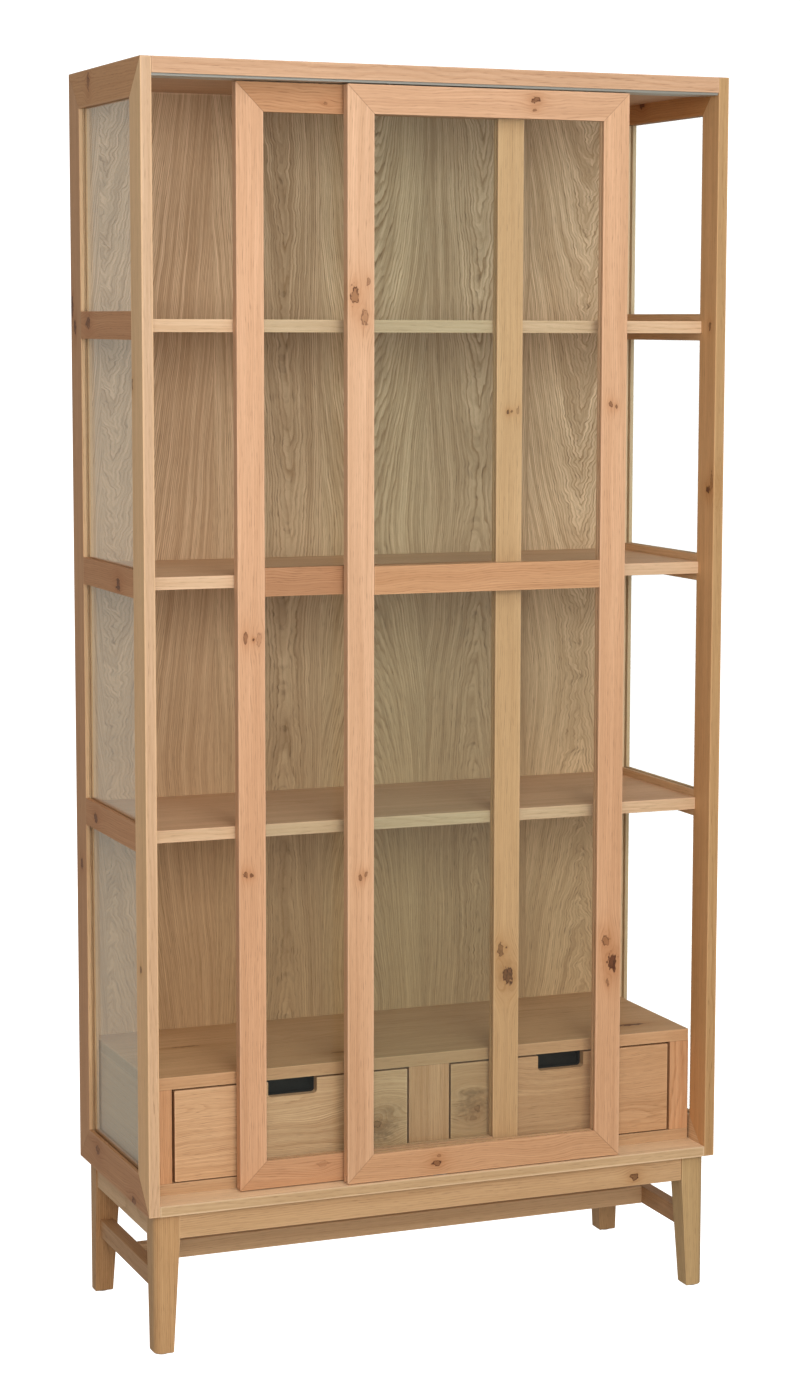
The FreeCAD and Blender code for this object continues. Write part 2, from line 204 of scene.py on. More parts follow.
def oak(
    name,
    along,
    depth,
    seed,
    tone=HONEY,
    pith=(0.0, 0.07),
    ring=0.0034,
    figure=0.5,
    drift=1.0,
    bright=1.0,
    warm=0.0,
    knots=(),
    box=None,
    leaves=None,
    rough=0.52,
    mottle=1.0,
    sway=0.03,
    taper=0.02,
    jag=0.0035,
    fibres=0.3,
    pores=0.42,
    lines=0.26,
    curl=0.006,
    fade=None,
    edge=None,
    seams=(),
    tint=(1.0, 1.0, 1.0),
    low=(0.95, 0.885, 0.815),
    bands=1.0,
):
    """Oak sawn along one axis. Its rings are drawn round a pith that lies pith[1] behind the wide face and pith[0] to
    one side, and strays a little along the board: a pith straight behind the face gives cathedrals, one off to the side
    gives straight lines. sway is how far it strays in metres.
    knots are (position along, position across, length, width, darkness, solidity) in metres, and the grain parts round
    them: solidity 0 is a ring round a paler heart, 1 a dark heart, and below 0 only a soft stain.
    leaves makes a face of veneer sheets side by side instead, each with a pith of its own that comes nearest the face
    at both ends of the sheet.
    curl is how far the grain waves, in metres, and fade makes it weaker or stronger with height.
    bands is how strong the broad streaks are. tint scales the board's colour and is partly its own tone and partly
    painted light and shade, lighter on boards the light falls on and darker on boards in shade. edge is painted light
    and shade on its narrow faces, made lighter or darker than the wide faces as the light falls on them. low is painted
    shade on upright boards, the colour they are multiplied by towards the floor, where less light reaches. seams are
    planes (x, y, z, distance) where it meets the next board, with a little dust and shadow in the joint."""
    g = Graph(name)
    p = g.place()
    xyz = g.split(p)
    ia, idp = AXIS[along], AXIS[depth]
    ic = 3 - ia - idp
    u, v, w = xyz[ia], xyz[ic], xyz[idp]
    if box is not None:
        lo, hi = box
        v0, w0 = (lo[ic] + hi[ic]) / 2, (lo[idp] + hi[idp]) / 2
    else:
        v0 = w0 = 0.0
    s1 = seed * 7.31 % 50
    s2 = seed * 3.77 % 40
    bent = v
    if curl:
        bend = g.noise(g.join(g.m("MULTIPLY_ADD", u, 8.0, s2), g.m("MULTIPLY_ADD", v, 13.0, 4.2), g.m("MULTIPLY_ADD", w, 13.0, s1)), 1.0, 2.0, 0.5)
        bent = g.m("MULTIPLY_ADD", g.m("SUBTRACT", bend, 0.5), curl, bent)
    # round each knot the grain is pushed aside
    knot = []
    if knots:
        gnarl = g.split(
            g.noise(g.join(g.m("MULTIPLY_ADD", u, 105.0, s1), g.m("MULTIPLY", v, 170.0), g.m("MULTIPLY_ADD", w, 100.0, s2)), 1.0, 3.0, 0.5, color=True)
        )
    for i, (ku, kv, kl, kw, dark_k, solid) in enumerate(knots):
        du = g.m("DIVIDE", g.m("SUBTRACT", u, ku), kl)
        off = g.m("SUBTRACT", v, kv)
        dv = g.m("DIVIDE", off, kw)
        e2 = g.m("ADD", g.m("MULTIPLY", du, du), g.m("MULTIPLY", dv, dv))
        push = g.m("EXPONENT", g.m("MULTIPLY", e2, -0.1))
        bent = g.m("MULTIPLY_ADD", g.m("MULTIPLY", off, push), -0.85, bent)
        du = g.m("MULTIPLY_ADD", g.m("SUBTRACT", gnarl[i % 3], 0.5), 2.6, du)
        dv = g.m("MULTIPLY_ADD", g.m("SUBTRACT", gnarl[(i + 1) % 3], 0.5), 2.8, dv)
        e = g.m("SQRT", g.m("ADD", g.m("MULTIPLY", du, du), g.m("MULTIPLY", dv, dv)))
        knot.append((e2, e, dark_k, solid, gnarl[(i + 2) % 3]))
    # where the pith lies, slowly wandering along the board
    wander = g.split(
        g.noise(g.join(g.m("MULTIPLY_ADD", u, 1.9 * drift, s1), g.m("MULTIPLY", bent, 2.0), s2), 1.0, 2.0, 0.5, color=True)
    )
    leaf_id = None
    if leaves is None:
        va = g.m("MULTIPLY_ADD", g.m("SUBTRACT", wander[0], 0.5), sway, g.m("SUBTRACT", bent, v0 + pith[0]))
        wa = g.m("MULTIPLY_ADD", g.m("SUBTRACT", wander[1], 0.5), sway, g.m("SUBTRACT", w, w0 - pith[1]))
        wa = g.m("MULTIPLY_ADD", u, taper, wa)
        r = g.m("SQRT", g.m("ADD", g.m("MULTIPLY", va, va), g.m("MULTIPLY", wa, wa)))
    else:
        start, pitch, sheets = leaves
        count = len(sheets)
        leaf_id = g.m("FLOOR", g.m("DIVIDE", g.m("SUBTRACT", v, start), pitch))
        fac = g.m("DIVIDE", g.m("ADD", leaf_id, 0.5), float(count))
        # of each sheet: its middle, the height of its saddle and its seed, then the pith's depth there, how fast it
        # comes nearer and how pointed the grain is, and last a colour factor that is partly its own tone and partly
        # painted light
        stops = [(i / count, ((q[0] - start) / (pitch * count), q[1] / 2.5, q[2], 1.0)) for i, q in enumerate(sheets)]
        table = g.split(g.ramp(fac, stops, "CONSTANT"))
        stops = [(i / count, (q[3] / 0.5, q[4] / 0.5, q[5], 1.0)) for i, q in enumerate(sheets)]
        lie = g.split(g.ramp(fac, stops, "CONSTANT"))
        centre = g.m("MULTIPLY_ADD", table[0], pitch * count, start)
        rise = g.m("MULTIPLY_ADD", table[1], -2.5, u)
        own = g.m("MULTIPLY", table[2], 31.0)
        again = g.split(
            g.noise(g.join(g.m("MULTIPLY_ADD", u, 2.1, own), g.m("MULTIPLY", v, 1.5), s2 + 3.1), 1.0, 2.0, 0.5, color=True)
        )
        va = g.m("MULTIPLY_ADD", g.m("SUBTRACT", again[1], 0.5), 0.05, g.m("SUBTRACT", bent, centre))
        zig = g.noise(g.join(g.m("MULTIPLY", u, 24.0), g.m("MULTIPLY", v, 7.0), g.m("ADD", own, 2.0)), 1.0, 3.0, 0.62)
        near_middle = g.m("EXPONENT", g.m("MULTIPLY", g.m("MULTIPLY", va, va), -700.0))
        zig = g.m("MULTIPLY", g.m("SUBTRACT", zig, 0.5), near_middle)
        va = g.m("MULTIPLY_ADD", g.m("MULTIPLY", zig, lie[2]), 0.045, va)
        far = g.m("SQRT", g.m("MULTIPLY_ADD", rise, rise, 0.01))
        wa = g.m("MULTIPLY", lie[0], 0.5)
        wa = g.m("MULTIPLY_ADD", g.m("MULTIPLY", far, lie[1]), -0.5, wa)
        wa = g.m("MULTIPLY_ADD", g.m("SUBTRACT", again[0], 0.5), 0.02, wa)
        wa = g.m("MAXIMUM", wa, 0.004)
        va2 = g.m("MULTIPLY", va, va)
        r = g.m("SQRT", g.m("ADD", va2, g.m("MULTIPLY", wa, wa)))
        r = g.m("MULTIPLY_ADD", va2, 2.0, r)
        sharp = g.m("MULTIPLY_ADD", va2, 4.0, g.m("MULTIPLY_ADD", g.m("ABSOLUTE", va), 0.46, wa))
        r = g.m("MULTIPLY_ADD", g.m("SUBTRACT", sharp, r), lie[2], r)
    # the fine lines lean with the rings, though less than they do
    lean = bent
    if leaf_id is not None:
        lean = g.m("MULTIPLY_ADD", r, 0.85, g.m("MULTIPLY", bent, 0.25))
    # short waves and jags in the lines
    wave = g.noise(g.join(g.m("MULTIPLY", u, 17.0), g.m("MULTIPLY", bent, 62.0), g.m("MULTIPLY_ADD", w, 60.0, s1)), 1.0, 2.0, 0.6)
    r = g.m("MULTIPLY_ADD", g.m("SUBTRACT", wave, 0.5), jag, r)
    phase = g.m("DIVIDE", r, ring)
    t = g.m("FRACT", phase)
    year = g.white(g.m("ADD", g.m("FLOOR", phase), s1 if leaf_id is None else leaf_id))
    early = g.ramp(t, [(0.0, 0.2), (0.09, 1.0), (0.26, 0.66), (0.5, 0.16), (0.9, 0.0), (1.0, 0.2)])
    early = g.m("MULTIPLY", early, g.m("MULTIPLY_ADD", year, 0.8, 0.38))
    # lines a few millimetres apart that run almost the board's length
    line = g.noise(g.join(g.m("MULTIPLY_ADD", u, 2.6, s2), g.m("MULTIPLY_ADD", lean, 150.0, s1), g.m("MULTIPLY_ADD", w, 150.0, s2)), 1.0, 3.0, 0.68)
    # fibres, streaks and the fine open pores, all drawn out along the grain
    fibre = g.noise(g.join(g.m("MULTIPLY", u, 5.0), g.m("MULTIPLY_ADD", lean, 400.0, s1), g.m("MULTIPLY_ADD", w, 400.0, s2)), 1.0, 3.0, 0.62)
    streak = g.noise(g.join(g.m("MULTIPLY", u, 1.9), g.m("MULTIPLY_ADD", lean, 38.0, s2), g.m("MULTIPLY_ADD", w, 38.0, s1)), 1.0, 2.0, 0.55)
    pore = g.noise(g.join(g.m("MULTIPLY", u, 46.0), g.m("MULTIPLY_ADD", lean, 900.0, s2), g.m("MULTIPLY", w, 900.0)), 1.0, 1.0, 0.5)
    opened = g.step(pore, 0.55, 0.68)
    open_pore = g.m("MULTIPLY", opened, g.m("MULTIPLY_ADD", early, 0.85, 0.25))
    cloud = g.noise(g.join(g.m("MULTIPLY_ADD", u, 3.1, s2), g.m("MULTIPLY", bent, 9.0), g.m("MULTIPLY", w, 9.0)), 1.0, 2.0, 0.5)

    light = toned(tone[0], bright, warm)
    dark = toned(tone[1], bright, warm)
    light = tuple(c * k for c, k in zip(light, tint)) + (1.0,)
    dark = tuple(c * k for c, k in zip(dark, tint)) + (1.0,)
    base = g.mix(g.step(streak, 0.32, 0.7), toned(light, 1.0 + 0.06 * bands, -0.006 * bands), toned(light, 1.0 - 0.1 * bands, 0.022 * bands))
    near = None
    for e2, e, dark_k, solid, blot in knot:
        round_it = g.m("MULTIPLY", g.m("EXPONENT", g.m("MULTIPLY", e2, -0.07)), dark_k)
        near = round_it if near is None else g.m("MAXIMUM", near, round_it)
    shown = g.m("MULTIPLY", early, figure if near is None else g.m("MULTIPLY_ADD", near, 0.6, figure), clamp=True)
    drawn = g.step(line, 0.36, 0.66, 0.0, lines)
    if fade is not None:
        weaker = g.step(u, *fade)
        shown = g.m("MULTIPLY", shown, weaker, clamp=True)
        drawn = g.m("MULTIPLY", drawn, weaker, clamp=True)
    base = g.mix(shown, base, dark)
    base = g.mix(drawn, base, toned(dark, 0.92, 0.01))
    base = g.mix(g.step(fibre, 0.3, 0.7, 0.0, fibres), base, toned(dark, 0.86), "MIX")
    base = g.mix(g.m("MULTIPLY", g.step(cloud, 0.35, 0.75), 0.3 * mottle), base, toned(light, 0.84, 0.05))
    # each sheet's colour is multiplied by its last figure, its own tone and painted light: the right-hand sheets are
    # made lighter, where more light reaches the back panel
    if leaf_id is not None:
        sheet_tone_and_painted_light = g.ramp(fac, [(i / count, (q[6][0] / 1.5, q[6][1] / 1.5, q[6][2] / 1.5, 1.0)) for i, q in enumerate(sheets)], "CONSTANT")
        base = g.mix(1.0, base, g.v("MULTIPLY", sheet_tone_and_painted_light, (1.5, 1.5, 1.5)), "MULTIPLY")
    base = g.mix(g.m("MULTIPLY", open_pore, pores), base, toned(dark, 0.4, 0.05))
    hole = None
    for e2, e, dark_k, solid, blot in knot:
        if solid < 0.0:
            soft = g.m("MULTIPLY", g.m("EXPONENT", g.m("MULTIPLY", g.m("MULTIPLY", e, e), -0.7)), dark_k)
            base = g.mix(soft, base, toned(dark, 0.42, -0.06))
            continue
        stained = g.m("MULTIPLY", g.m("EXPONENT", g.m("MULTIPLY", g.m("MULTIPLY", e, e), -0.3)), (0.6 + 0.3 * solid) * dark_k)
        base = g.mix(stained, base, toned(dark, 0.7, 0.14))
        stained = g.m("MULTIPLY", g.m("EXPONENT", g.m("MULTIPLY", e2, -0.07)), 0.4 * dark_k)
        base = g.mix(stained, base, toned(dark, 0.92, 0.08))
        core = g.m("MULTIPLY", g.step(e, 0.85, 1.08, 1.0, 0.0), min(1.0, 0.75 + 0.25 * solid) * dark_k)
        heart = tuple(a + (b - a) * solid for a, b in zip(toned(dark, 0.52, 0.14), lin(84, 42, 26)))
        base = g.mix(core, base, heart)
        rim = g.m("MULTIPLY", g.step(e, 0.66, 0.9), g.step(e, 0.98, 1.2, 1.0, 0.0))
        rim = g.m("MULTIPLY", rim, g.step(blot, 0.3, 0.52, 0.45 * dark_k, dark_k))
        base = g.mix(rim, base, lin(78, 38, 22))
        middle = g.m("MULTIPLY", g.step(e, 0.3, 0.95, 1.0, 0.0), g.step(blot, 0.49, 0.63))
        middle = g.m("MULTIPLY", middle, dark_k * solid)
        base = g.mix(g.m("MULTIPLY", middle, 0.75), base, lin(54, 28, 19))
        hole = middle if hole is None else g.m("MAXIMUM", hole, middle)
    # painted shade: what stands upright is multiplied by low towards the floor, darker and more amber lower down, in
    # place of the light falling off there
    if along == "Z":
        base = g.mix(1.0, base, g.mix(g.step(u, 0.35, 1.75), tuple(low) + (1.0,), (1.0, 1.0, 1.0, 1.0)), "MULTIPLY")
    # end grain drinks more oil and goes darker
    axis_vector = tuple(1.0 if i == ia else 0.0 for i in range(3))
    ends = g.step(g.m("ABSOLUTE", g.dot(g.facing(), axis_vector)), 0.8, 0.97)
    base = g.mix(g.m("MULTIPLY", ends, 0.5), base, toned(dark, 0.72, 0.04))
    # painted light and shade: the narrow faces are multiplied by edge, lighter or darker than the wide faces as the
    # light falls on them
    if edge is not None:
        across = tuple(1.0 if i == ic else 0.0 for i in range(3))
        narrow = g.step(g.m("ABSOLUTE", g.dot(g.facing(), across)), 0.75, 0.95)
        base = g.mix(narrow, base, tuple(edge) + (1.0,), "MULTIPLY")
    roughness = g.m("MULTIPLY_ADD", early, 0.06, g.m("MULTIPLY_ADD", fibre, 0.12, rough - 0.06))
    if box is not None:
        # the arrises are worn smooth by hands and dusters, a little paler and shinier
        worn = edge_mask(g, xyz, box, 0.0022, g.m("SUBTRACT", streak, 0.5))
        base = g.mix(g.m("MULTIPLY", worn, 0.3), base, toned(light, 1.12, -0.01))
        roughness = g.m("MULTIPLY_ADD", worn, -0.1, roughness)
    for nx, ny, nz, d in seams:
        length = math.sqrt(nx * nx + ny * ny + nz * nz)
        off = g.m("ABSOLUTE", g.m("SUBTRACT", g.dot(p, (nx / length, ny / length, nz / length)), d / length))
        base = g.mix(g.step(off, 0.0002, 0.0009, 0.32, 0.0), base, lin(110, 72, 46))
    height = g.m("MULTIPLY_ADD", opened, -1.0, g.m("MULTIPLY", fibre, 0.5))
    if hole is not None:
        roughness = g.m("MULTIPLY_ADD", hole, -0.1, roughness)
        height = g.m("MULTIPLY_ADD", hole, -1.6, height)
    n = g.shader(
        Base_Color=base,
        Roughness=roughness,
        Normal=g.bump(height, 0.35, 0.0003),
    )
    n.inputs["IOR"].default_value = 1.46
    n.inputs["Specular IOR Level"].default_value = 0.42
    return g.finish(n.outputs[0])


def glass(name):
    """Clear float glass with a faint green cast. Each pane is thin and flat, so what is behind it isn't moved; it mirrors a little, more at a slant, and a trace of dust shows in the gloss. Lamps are let through, so that they light what it shuts in."""
    g = Graph(name)
    p = g.place()
    smear = g.noise(g.v("MULTIPLY", p, (3.0, 3.0, 1.3)), 1.0, 3.0, 0.55)
    through = g.nt.nodes.new("ShaderNodeBsdfRefraction")
    g.put(through.inputs["Color"], g.mix(g.step(smear, 0.35, 0.7), (0.955, 0.982, 0.984, 1.0), (0.965, 0.987, 0.988, 1.0)))
    through.inputs["Roughness"].default_value = 0.0
    through.inputs["IOR"].default_value = 1.001
    mirror = g.nt.nodes.new("ShaderNodeBsdfGlossy")
    mirror.inputs["Color"].default_value = (1.0, 1.0, 1.0, 1.0)
    g.put(mirror.inputs["Roughness"], g.step(smear, 0.5, 0.8, 0.0, 0.03))
    slant = g.nt.nodes.new("ShaderNodeLayerWeight")
    slant.inputs["Blend"].default_value = 0.5
    share = g.m("MULTIPLY_ADD", g.m("POWER", slant.outputs["Facing"], 4.0), 0.7, 0.015)
    pane = g.nt.nodes.new("ShaderNodeMixShader")
    g.nt.links.new(share, pane.inputs[0])
    g.nt.links.new(through.outputs[0], pane.inputs[1])
    g.nt.links.new(mirror.outputs[0], pane.inputs[2])
    clear = g.nt.nodes.new("ShaderNodeBsdfTransparent")
    clear.inputs[0].default_value = (0.95, 0.965, 0.955, 1.0)
    path = g.nt.nodes.new("ShaderNodeLightPath")
    either = g.m("MAXIMUM", path.outputs["Is Shadow Ray"], path.outputs["Is Diffuse Ray"])
    mixer = g.nt.nodes.new("ShaderNodeMixShader")
    g.nt.links.new(either, mixer.inputs[0])
    g.nt.links.new(pane.outputs[0], mixer.inputs[1])
    g.nt.links.new(clear.outputs[0], mixer.inputs[2])
    return g.finish(mixer.outputs[0])


def aluminium(name):
    """Extruded aluminium, satin anodised, with fine lines along X from the die."""
    g = Graph(name)
    p = g.place()
    lines = g.noise(g.v("MULTIPLY", p, (2.0, 1600.0, 1600.0)), 1.0, 2.0, 0.6)
    cloud = g.noise(g.v("MULTIPLY", p, (6.0, 20.0, 20.0)), 1.0, 2.0, 0.5)
    n = g.shader(
        Base_Color=g.mix(g.step(lines, 0.3, 0.7), lin(222, 221, 218), lin(199, 198, 195)),
        Metallic=1.0,
        Roughness=g.m("MULTIPLY_ADD", cloud, 0.14, g.m("MULTIPLY_ADD", lines, 0.1, 0.3)),
        Normal=g.bump(lines, 0.25, 0.0001),
    )
    return g.finish(n.outputs[0])


def steel(name):
    """Bright zinc-plated steel: faint spangle, fine scratches."""
    g = Graph(name)
    p = g.place()
    spangle = g.voronoi(p, 700.0)
    scratch = g.noise(g.v("MULTIPLY", p, (900.0, 900.0, 60.0)), 1.0, 3.0, 0.6)
    n = g.shader(
        Base_Color=g.mix(g.step(spangle, 0.1, 0.7), lin(196, 199, 203), lin(168, 171, 176)),
        Metallic=1.0,
        Roughness=g.m("MULTIPLY_ADD", scratch, 0.22, g.m("MULTIPLY_ADD", spangle, 0.1, 0.22)),
        Normal=g.bump(scratch, 0.15, 0.0001),
    )
    return g.finish(n.outputs[0])


def plastic(name, colour, other, rough):
    """Moulded plastic with a fine spark-eroded texture."""
    g = Graph(name)
    p = g.place()
    grit = g.noise(p, 2600.0, 2.0, 0.6)
    haze = g.noise(p, 60.0, 2.0, 0.5)
    n = g.shader(
        Base_Color=g.mix(g.step(haze, 0.3, 0.7), colour, other),
        Roughness=g.m("MULTIPLY_ADD", grit, 0.16, rough - 0.08),
        Normal=g.bump(grit, 0.22, 0.0001),
    )
    return g.finish(n.outputs[0])


def felt(name):
    """Pressed wool felt: tangled fibres that catch light at the rim."""
    g = Graph(name)
    p = g.place()
    tangle = g.noise(p, 1800.0, 4.0, 0.7, 1.2)
    wisps = g.noise(g.v("MULTIPLY", p, (900.0, 700.0, 400.0)), 1.0, 3.0, 0.6, 2.0)
    n = g.shader(
        Base_Color=g.mix(g.step(tangle, 0.3, 0.7), lin(96, 86, 74), lin(146, 134, 118)),
        Roughness=g.m("MULTIPLY_ADD", wisps, 0.1, 0.88),
        Normal=g.bump(g.m("ADD", tangle, wisps), 0.7, 0.0004),
    )
    n.inputs["Sheen Weight"].default_value = 0.35
    n.inputs["Sheen Roughness"].default_value = 0.5
    return g.finish(n.outputs[0])


# ---------------------------------------------------------------- what each board is


def wood(node, along, depth, seed, **more):
    """Gives a CAD board its own oak."""
    o = NODES[node]
    more.setdefault("box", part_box(node))
    m = oak(node + "_oak", along, depth, seed, **more)
    o.data.materials.clear()
    o.data.materials.append(m)


MULTI = dict(box=None)

# The tint, bright, edge and low figures below give each board its own tone and also hold painted light and shade: faces
# are made lighter where light falls and darker where it doesn't.
# side frames
wood("left_side_front_post", "Z", "X", 1, seams=((0, 1, 1, 1.835), (0, -1, 1, 0.43)), tint=(1.1, 1.03, 0.94), edge=(0.8, 0.84, 1.0), low=(1.03, 0.97, 0.9), tone=CREAM, pith=(0.09, 0.05), figure=0.4,
     knots=((1.539, -0.145, 0.008, 0.004, 0.8, 0.5), (0.623, -0.166, 0.005, 0.0035, 0.7, 0.6)))
# painted light: edge lightens this rear post's front and back faces, where the light falls on its reveal
wood("left_side_rear_post", "Z", "X", 2, edge=(1.25, 1.6, 1.85), seams=((0, -1, 1, 1.835), (0, 1, 1, 0.43)), tone=RUSSET, pith=(-0.08, 0.05), figure=0.5,
     knots=((1.659, 0.193, 0.014, 0.006, 1.0, 0.8), (1.627, 0.177, 0.011, 0.0055, 0.9, 0.7), (0.738, 0.170, 0.008, 0.005, 0.8, 0.7)))
wood("left_side_top_rail", "Y", "X", 3, seams=((0, 1, 1, 1.835), (0, -1, 1, 1.835)), tint=(0.99, 0.93, 0.8), tone=RUSSET, pith=(0.05, 0.05), figure=0.55,
     knots=((0.085, 2.016, 0.006, 0.012, 0.7, 0.3),))
wood("left_side_bottom_rail", "Y", "X", 4, edge=(1.12, 1.25, 1.35), seams=((0, -1, 1, 0.43), (0, 1, 1, 0.43)), tint=(0.88, 0.78, 0.68), tone=RUSSET, pith=(-0.06, 0.05), figure=0.5,
     knots=((0.0905, 0.267, 0.011, 0.007, 0.75, 0.3), (-0.116, 0.236, 0.011, 0.006, 0.75, 0.3)))
wood("left_side_cross_rails", "Y", "X", 5, seams=((0, 1, 0, -0.142), (0, 1, 0, 0.142)), tint=(0.98, 0.88, 0.79), tone=RUSSET, pith=(0.0, 0.3), figure=0.5, box=None,
     knots=((0.0994, 1.635, 0.010, 0.009, 0.8, 0.5), (-0.058, 1.222, 0.010, 0.008, 0.85, 0.6), (0.082, 0.8275, 0.009, 0.006, 0.8, 0.6)))
wood("right_side_front_post", "Z", "X", 6, edge=(0.76, 0.81, 0.81), seams=((0, 1, 1, 1.835), (0, -1, 1, 0.43)), tint=(1.02, 0.93, 0.8), tone=HONEY, pith=(0.09, 0.05), figure=0.42,
     knots=((1.632, -0.179, 0.006, 0.004, 0.8, 0.6), (1.361, -0.180, 0.0065, 0.0055, 1.0, 1.0), (1.374, -0.192, 0.013, 0.004, 0.5, 0.4)))
# painted light: edge lightens this rear post's front and back faces, where the light falls on its reveal
wood("right_side_rear_post", "Z", "X", 7, edge=(1.3, 1.6, 1.9), seams=((0, -1, 1, 1.835), (0, 1, 1, 0.43)), tone=HONEY, pith=(0.1, 0.06), figure=0.45)
# painted shade: tint darkens this rail, which stands in shade under the top
wood("right_side_top_rail", "Y", "X", 8, seams=((0, 1, 1, 1.835), (0, -1, 1, 1.835)), tint=(0.84, 0.71, 0.49), tone=RUSSET, pith=(0.06, 0.05), figure=0.55,
     knots=((0.085, 2.0085, 0.008, 0.006, 0.9, 0.7),))
wood("right_side_bottom_rail", "Y", "X", 9, seams=((0, -1, 1, 0.43), (0, 1, 1, 0.43)), tone=HONEY, pith=(-0.07, 0.05), figure=0.5)
wood("right_side_cross_rails", "Y", "X", 10, seams=((0, 1, 0, -0.142), (0, 1, 0, 0.142)), tone=HONEY, pith=(0.0, 0.32), figure=0.5, box=None)

# carcass
wood("top_panel", "X", "Z", 11, seams=((1, 0, 0, -0.482), (1, 0, 0, 0.482)), tint=(0.88, 0.91, 0.93), tone=PEACH, pith=(0.05, 0.08), figure=0.42)
# painted light and shade: tint lightens the bottom panel's top face as if lit from above, and edge darkens its front
# edge
wood("bottom_panel", "X", "Z", 12, seams=((1, 0, 0, -0.482), (1, 0, 0, 0.482)), tint=(1.27, 1.35, 1.46), edge=(0.655, 0.595, 0.51), tone=CREAM, pith=(-0.08, 0.07), figure=0.45)
wood("upper_shelf", "X", "Z", 13, edge=(0.975, 0.985, 1.06), tone=CREAM, pith=(0.06, 0.09), figure=0.4)
wood("middle_shelf", "X", "Z", 14, tint=(0.97, 0.92, 0.95), edge=(1.02, 1.08, 1.13), tone=CREAM, pith=(-0.05, 0.09), figure=0.42)
wood("lower_shelf", "X", "Z", 15, tint=(0.97, 0.9, 0.92), edge=(0.95, 1.01, 1.02), tone=CREAM, pith=(0.03, 0.08), figure=0.42)
# painted shade and light on the back panel: low darkens its lower part towards the floor, and the last figure of each
# sheet makes the right-hand sheets lighter
wood("back_panel", "Z", "Y", 16, bands=0.35, tone=VENEER, ring=0.0038, figure=0.82, fade=(0.7, 1.6, 0.6, 1.2), low=(0.765, 0.68, 0.55), tint=(1.05, 1.05, 1.04), mottle=0.35, rough=0.58, fibres=0.42, pores=0.55, jag=0.006, lines=0.5,
     leaves=(-0.648, 0.193, (
         (-0.55, 1.3, 0.1, 0.22, 0.16, 0.5, (1.0, 1.0, 1.0)),
         (-0.437, 0.92, 0.3, 0.33, 0.2, 1.0, (1.0, 1.0, 1.0)),
         (-0.135, 1.05, 0.5, 0.05, 0.05, 0.35, (1.03, 1.05, 1.06)),
         (0.026, 1.28, 0.65, 0.135, 0.16, 0.12, (1.07, 1.12, 1.13)),
         (0.222, 1.36, 0.8, 0.06, 0.07, 0.4, (1.1, 1.14, 1.15)),
         (0.427, 1.0, 0.95, 0.33, 0.17, 1.0, (1.24, 1.33, 1.37)),
     )))

# doors: the front one first
wood("front_door_left_stile", "Z", "Y", 21, seams=((1, 0, 1, 1.8400), (-1, 0, 1, 0.4130)), tint=(1.03, 1.08, 1.12), low=(0.915, 0.845, 0.765), tone=PEACH, pith=(0.11, 0.05), figure=0.36,
     knots=((1.6785, -0.1523, 0.0135, 0.0062, 1.0, 0.12), (1.643, -0.1355, 0.0105, 0.006, 0.6, 0.1), (1.700, -0.129, 0.006, 0.0025, 0.5, 0.5), (0.752, -0.142, 0.005, 0.003, 0.75, 0.6), (0.757, -0.1335, 0.004, 0.0025, 0.6, 0.6)))
wood("front_door_right_stile", "Z", "Y", 22, seams=((-1, 0, 1, 1.6820), (1, 0, 1, 0.5710)), tint=(1.08, 1.09, 1.08), low=(0.9, 0.83, 0.75), tone=PEACH, pith=(-0.12, 0.05), figure=0.36, bright=0.93,
     knots=((1.504, 0.2932, 0.005, 0.003, 0.7, 0.5), (1.501, 0.304, 0.003, 0.002, 0.6, 0.8), (0.618, 0.294, 0.0095, 0.0058, 0.85, 0.15), (0.5795, 0.3065, 0.0130, 0.0078, 0.95, 0.85), (0.545, 0.298, 0.006, 0.0025, 0.55, 0.5)))
wood("front_door_top_rail", "X", "Y", 23, seams=((1, 0, 1, 1.8400), (-1, 0, 1, 1.6820)), tint=(0.985, 0.98, 0.97), curl=0.022, tone=PEACH, pith=(-0.07, 0.04), figure=0.56, bright=0.92, sway=0.05, ring=0.0042,
     knots=((0.1557, 1.9885, 0.0062, 0.005, 0.85, 0.5), (0.155, 1.973, 0.003, 0.002, 0.6, 0.6)))
wood("front_door_mid_rail", "X", "Y", 24, seams=((1, 0, 0, -0.1190), (1, 0, 0, 0.2770)), curl=0.026, tone=RUSSET, pith=(0.08, 0.05), figure=0.66, bright=0.97, sway=0.05)
# painted highlight: edge lightens the bottom rail's narrow faces, its top face as if lit from above
wood("front_door_bottom_rail", "X", "Y", 25, seams=((-1, 0, 1, 0.4130), (1, 0, 1, 0.5710)), tint=(1.0, 0.93, 0.81), curl=0.03, edge=(1.35, 1.5, 1.65), tone=PEACH, pith=(0.08, 0.04), figure=0.85, bright=0.9, sway=0.05,
     knots=((-0.007, 0.2687, 0.0066, 0.0052, 0.95, 0.3), (-0.004, 0.281, 0.003, 0.002, 0.5, 0.4)))
wood("rear_door_left_stile", "Z", "Y", 26, seams=((1, 0, 1, 1.6660), (-1, 0, 1, 0.5870)), tone=PEACH, pith=(-0.1, 0.05), figure=0.38,
     knots=((1.1424, -0.3253, 0.008, 0.0025, 0.7, 0.5), (1.139, -0.3123, 0.002, 0.0016, 0.95, 1.0), (1.140, -0.303, 0.009, 0.0045, 0.3, 0.2), (0.764, -0.327, 0.005, 0.003, 0.75, 0.6), (0.763, -0.317, 0.0035, 0.0025, 0.7, 0.8)))
